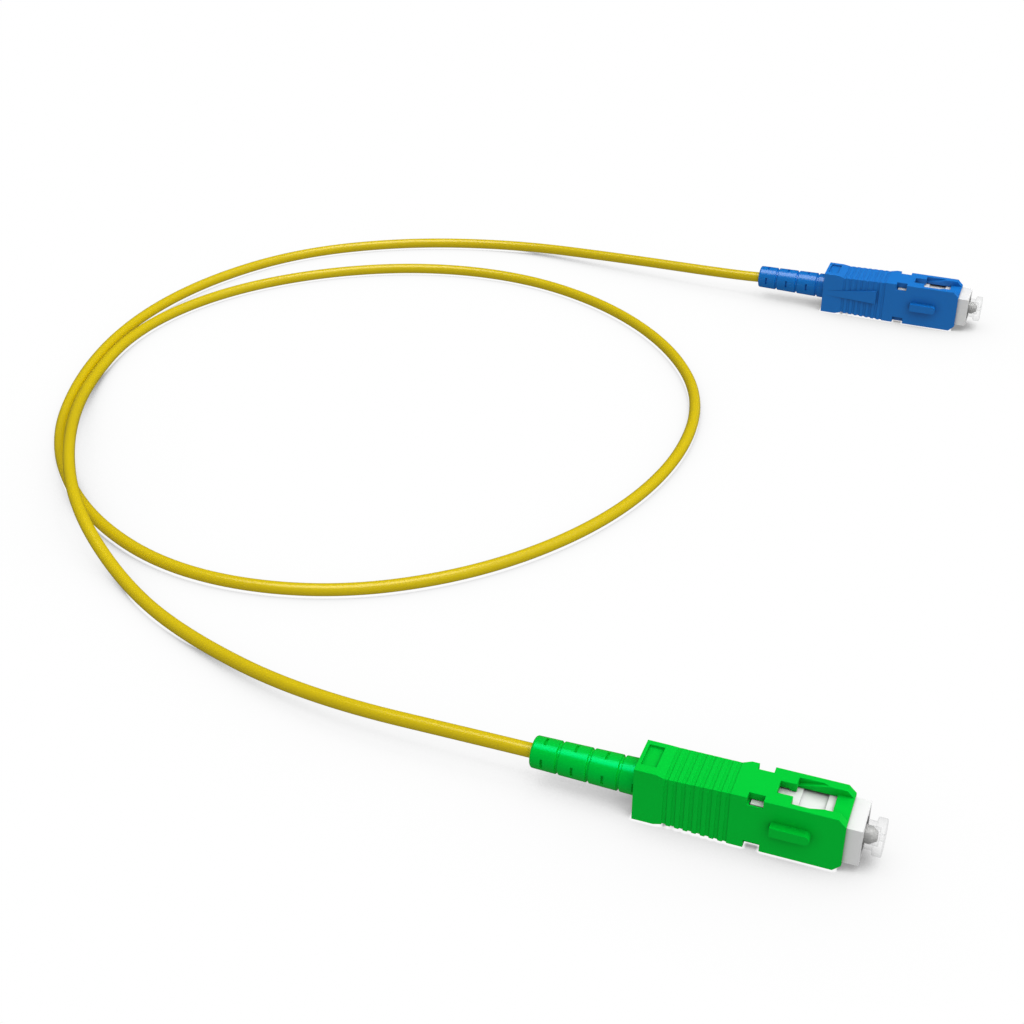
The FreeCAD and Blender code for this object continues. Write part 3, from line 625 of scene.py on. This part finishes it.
def boot_tree():
    """Node tree of a boot, with its sizes as named inputs."""
    tree = bpy.data.node_groups.new("ringed_boot", "GeometryNodeTree")
    tree.interface.new_socket("Geometry", in_out="OUTPUT", socket_type="NodeSocketGeometry")
    for name, value in BOOT.items():
        kind = "NodeSocketInt" if isinstance(value, int) else "NodeSocketFloat"
        tree.interface.new_socket(name, in_out="INPUT", socket_type=kind)
    tree.interface.new_socket("Finish", in_out="INPUT", socket_type="NodeSocketMaterial")
    sizes = add(tree, "NodeGroupInput").outputs
    boot = boot_body(tree, sizes)
    cutters = [
        boot_slits(tree, sizes),
        boot_bore(tree, sizes, sizes["Cord bore radius"], -BORE_PAST),
        boot_bore(tree, sizes, sizes["Crimp bore radius"], sizes["Crimp bore start"]),
    ]
    for cutter in cutters:
        boot = add(tree, "GeometryNodeMeshBoolean", {"Mesh 1": boot, "Mesh 2": cutter},
                   operation="DIFFERENCE", solver="MANIFOLD")
    whole = add(tree, "GeometryNodeRealizeInstances", {"Geometry": boot})
    dressed = add(tree, "GeometryNodeSetMaterial", {"Geometry": whole, "Material": sizes["Finish"]})
    add(tree, "NodeGroupOutput", {"Geometry": dressed})
    return tree


def make_boot(prefix, tree):
    """Boot of one plug from the node tree, moved to its place."""
    node = prefix + "_boot"
    name = prefix + "_ringed_boot"
    piece = link(name, bpy.data.meshes.new(name))
    maker = piece.modifiers.new("ringed boot", "NODES")
    maker.node_group = tree
    values = dict(BOOT, Finish=MATERIALS[SLOTS[node]])
    for item in tree.interface.items_tree:
        if item.in_out == "INPUT":
            maker[item.identifier] = values[item.name]
    settled(piece)
    place = PLUGS[prefix] + Vector((BOOT_REAR[prefix], 0.0, 0.0))
    for vertex in piece.data.vertices:
        vertex.co += place
    smooth_by_angle(piece.data, SMOOTH_ANGLE)
    dress(piece, node)


def make_cord():
    """The cord as one smooth spline along its route."""
    curve = bpy.data.curves.new("yellow_cord", "CURVE")
    curve.dimensions = "3D"
    spline = curve.splines.new("NURBS")
    spline.points.add(len(CORD_ROUTE) - 1)
    for point, place in zip(spline.points, CORD_ROUTE):
        point.co = place + (1.0,)
    spline.order_u = 3
    spline.use_endpoint_u = True
    spline.resolution_u = 16
    curve.bevel_depth = CORD_DIAMETER / 2
    curve.bevel_resolution = 7
    curve.use_fill_caps = True
    piece = link("yellow_cord", curve)
    dress(piece, "cord")
    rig.cord(piece, exit=CORD_EXIT, length=CORD_LENGTH, diameter=CORD_DIAMETER, far_end="object",
            stiffness="medium", lay="loose")


def dress_inner_nodes():
    """Finishes of the pieces that keep their CAD form."""
    for prefix in PLUGS:
        for kind in ("ferrule_holder", "stop_ring", "yarn", "crimp_ring"):
            node = prefix + "_" + kind
            piece = frame["nodes"][node]
            piece.data.materials.clear()
            piece.data.materials.append(MATERIALS[SLOTS[node]])


def make_flexing_pieces():
    """Spring and fibre of each plug, which shorten as the ferrule is pushed in."""
    for prefix, plug in PLUGS.items():
        for kind, held_end in (("spring", min), ("fibre", max)):
            node = prefix + "_" + kind
            piece = merged_copy(node, node + "_flexing")
            smooth_by_angle(piece.data, SMOOTH_ANGLE)
            along = [vertex.co.x for vertex in piece.data.vertices]
            share = 1 - FERRULE_TRAVEL / (max(along) - min(along))
            dress(piece, node)
            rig.squash(piece, prefix + "_ferrule_float", axis=(1, 0, 0),
                      anchor=(held_end(along), plug.y, plug.z), keep=share)


def make_moulded_pieces():
    """Grips, plug frames, ferrules and caps with small rounded edges."""
    for prefix in PLUGS:
        for kind in ("grip", "plug_frame", "ferrule", "dust_cap"):
            node = prefix + "_" + kind
            dress(rounded_copy(node, node + "_moulded", EDGE_ROUND), node)


def make_floor():
    """Plain white floor that darkens softly where the object hides the sky from it."""
    mesh = bpy.data.meshes.new("floor")
    around = ((-1, -1), (1, -1), (1, 1), (-1, 1))
    corners = [(x * FLOOR_HALF, y * FLOOR_HALF, -FLOOR_DROP) for x, y in around]
    mesh.from_pydata(corners, [], [(0, 1, 2, 3)])
    material = bpy.data.materials.new("white_floor_paper")
    tree = empty_tree(material)
    near = add(tree, "ShaderNodeAmbientOcclusion", {"Distance": SHADOW_LIFT}, samples=8).outputs["AO"]
    far = add(tree, "ShaderNodeAmbientOcclusion", {"Distance": SHADOW_REACH}, samples=8).outputs["AO"]
    hidden = add(tree, "ShaderNodeMath", (near, far), operation="SUBTRACT", use_clamp=True)
    steep = add(tree, "ShaderNodeMath", (hidden, CONTACT_POWER), operation="POWER")
    level = add(tree, "ShaderNodeMath", (steep, -CONTACT_SHADOW, 1.0), operation="MULTIPLY_ADD")
    level = add(tree, "ShaderNodeMath", (hidden, -BROAD_SHADOW, level), operation="MULTIPLY_ADD")
    level = add(tree, "ShaderNodeMath", (level, DARKEST_FLOOR), operation="MAXIMUM")
    paper = add(tree, "ShaderNodeEmission", {"Strength": level})
    add(tree, "ShaderNodeOutputMaterial", {"Surface": paper})
    mesh.materials.append(material)
    floor = link("floor", mesh)
    floor.visible_diffuse = False
    floor.visible_glossy = False
    floor.visible_shadow = False
    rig.stage(floor)


def make_sky():
    """Even sky and table light: white behind the object, and a softbox overhead in its gloss."""
    world = bpy.data.worlds.new("studio")
    tree = empty_tree(world)
    path = add(tree, "ShaderNodeLightPath").outputs
    way = add(tree, "ShaderNodeTexCoord").outputs["Generated"]
    height = add(tree, "ShaderNodeSeparateXYZ", (way,)).outputs["Z"]
    light = add(tree, "ShaderNodeMapRange", {
        "Value": height, "From Min": -HORIZON_BLEND, "From Max": HORIZON_BLEND,
        "To Min": TABLE_LEVEL, "To Max": SKY_LEVEL})
    upright = add(tree, "ShaderNodeVectorMath", (
        way, SOFTBOX_AXIS), operation="DOT_PRODUCT").outputs["Value"]
    # Around the softbox the gloss sees a dim sky, because a white one would veil the plastics' rims
    softbox = add(tree, "ShaderNodeMapRange", {
        "Value": upright, "From Min": math.cos(SOFTBOX_OUTER), "From Max": math.cos(SOFTBOX_INNER),
        "To Min": SKY_IN_GLOSS, "To Max": SOFTBOX_IN_GLOSS}, interpolation_type="SMOOTHSTEP")
    gloss = add(tree, "ShaderNodeMix", {
        "Factor": path["Is Glossy Ray"], "A": light, "B": softbox}).outputs["Result"]
    seen = add(tree, "ShaderNodeMath", (
        path["Is Camera Ray"], path["Is Transmission Ray"]), operation="MAXIMUM")
    level = add(tree, "ShaderNodeMix", {"Factor": seen, "A": gloss, "B": 1.0}).outputs["Result"]
    sky = add(tree, "ShaderNodeBackground", {"Color": linear("#FFFFFF"), "Strength": level})
    add(tree, "ShaderNodeOutputWorld", {"Surface": sky})
    bpy.context.scene.world = world


def make_key():
    """Broad far lamp that shines from overhead, a little from the plugs' front."""
    lamp = bpy.data.lights.new("key_softbox", "SUN")
    lamp.energy = KEY_ENERGY
    lamp.angle = KEY_SPREAD
    key = link("key_softbox", lamp)
    key.rotation_euler = (0.0, KEY_TILT, 0.0)
    key.visible_glossy = False


def make_camera():
    """Camera at the photograph's view."""
    data = bpy.data.cameras.new("camera")
    data.lens = CAMERA_LENS
    data.sensor_width = 36.0
    data.clip_start = 0.01
    camera = link("camera", data)
    camera.location = CAMERA_PLACE
    camera.rotation_euler = (math.pi / 2 - CAMERA_DOWN, 0.0, CAMERA_TURN)
    bpy.context.scene.camera = camera


make_camera()
make_cord()
ringed_boot = boot_tree()
for prefix in PLUGS:
    make_boot(prefix, ringed_boot)
make_moulded_pieces()
make_flexing_pieces()
dress_inner_nodes()
make_floor()
make_sky()
make_key()
bpy.context.scene.view_settings.view_transform = "Standard"

with open("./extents.json", "w") as handle:
    json.dump({"cad": [list(c) for c in CAD_BOX], "visual": [list(c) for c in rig.bounds()]}, handle)
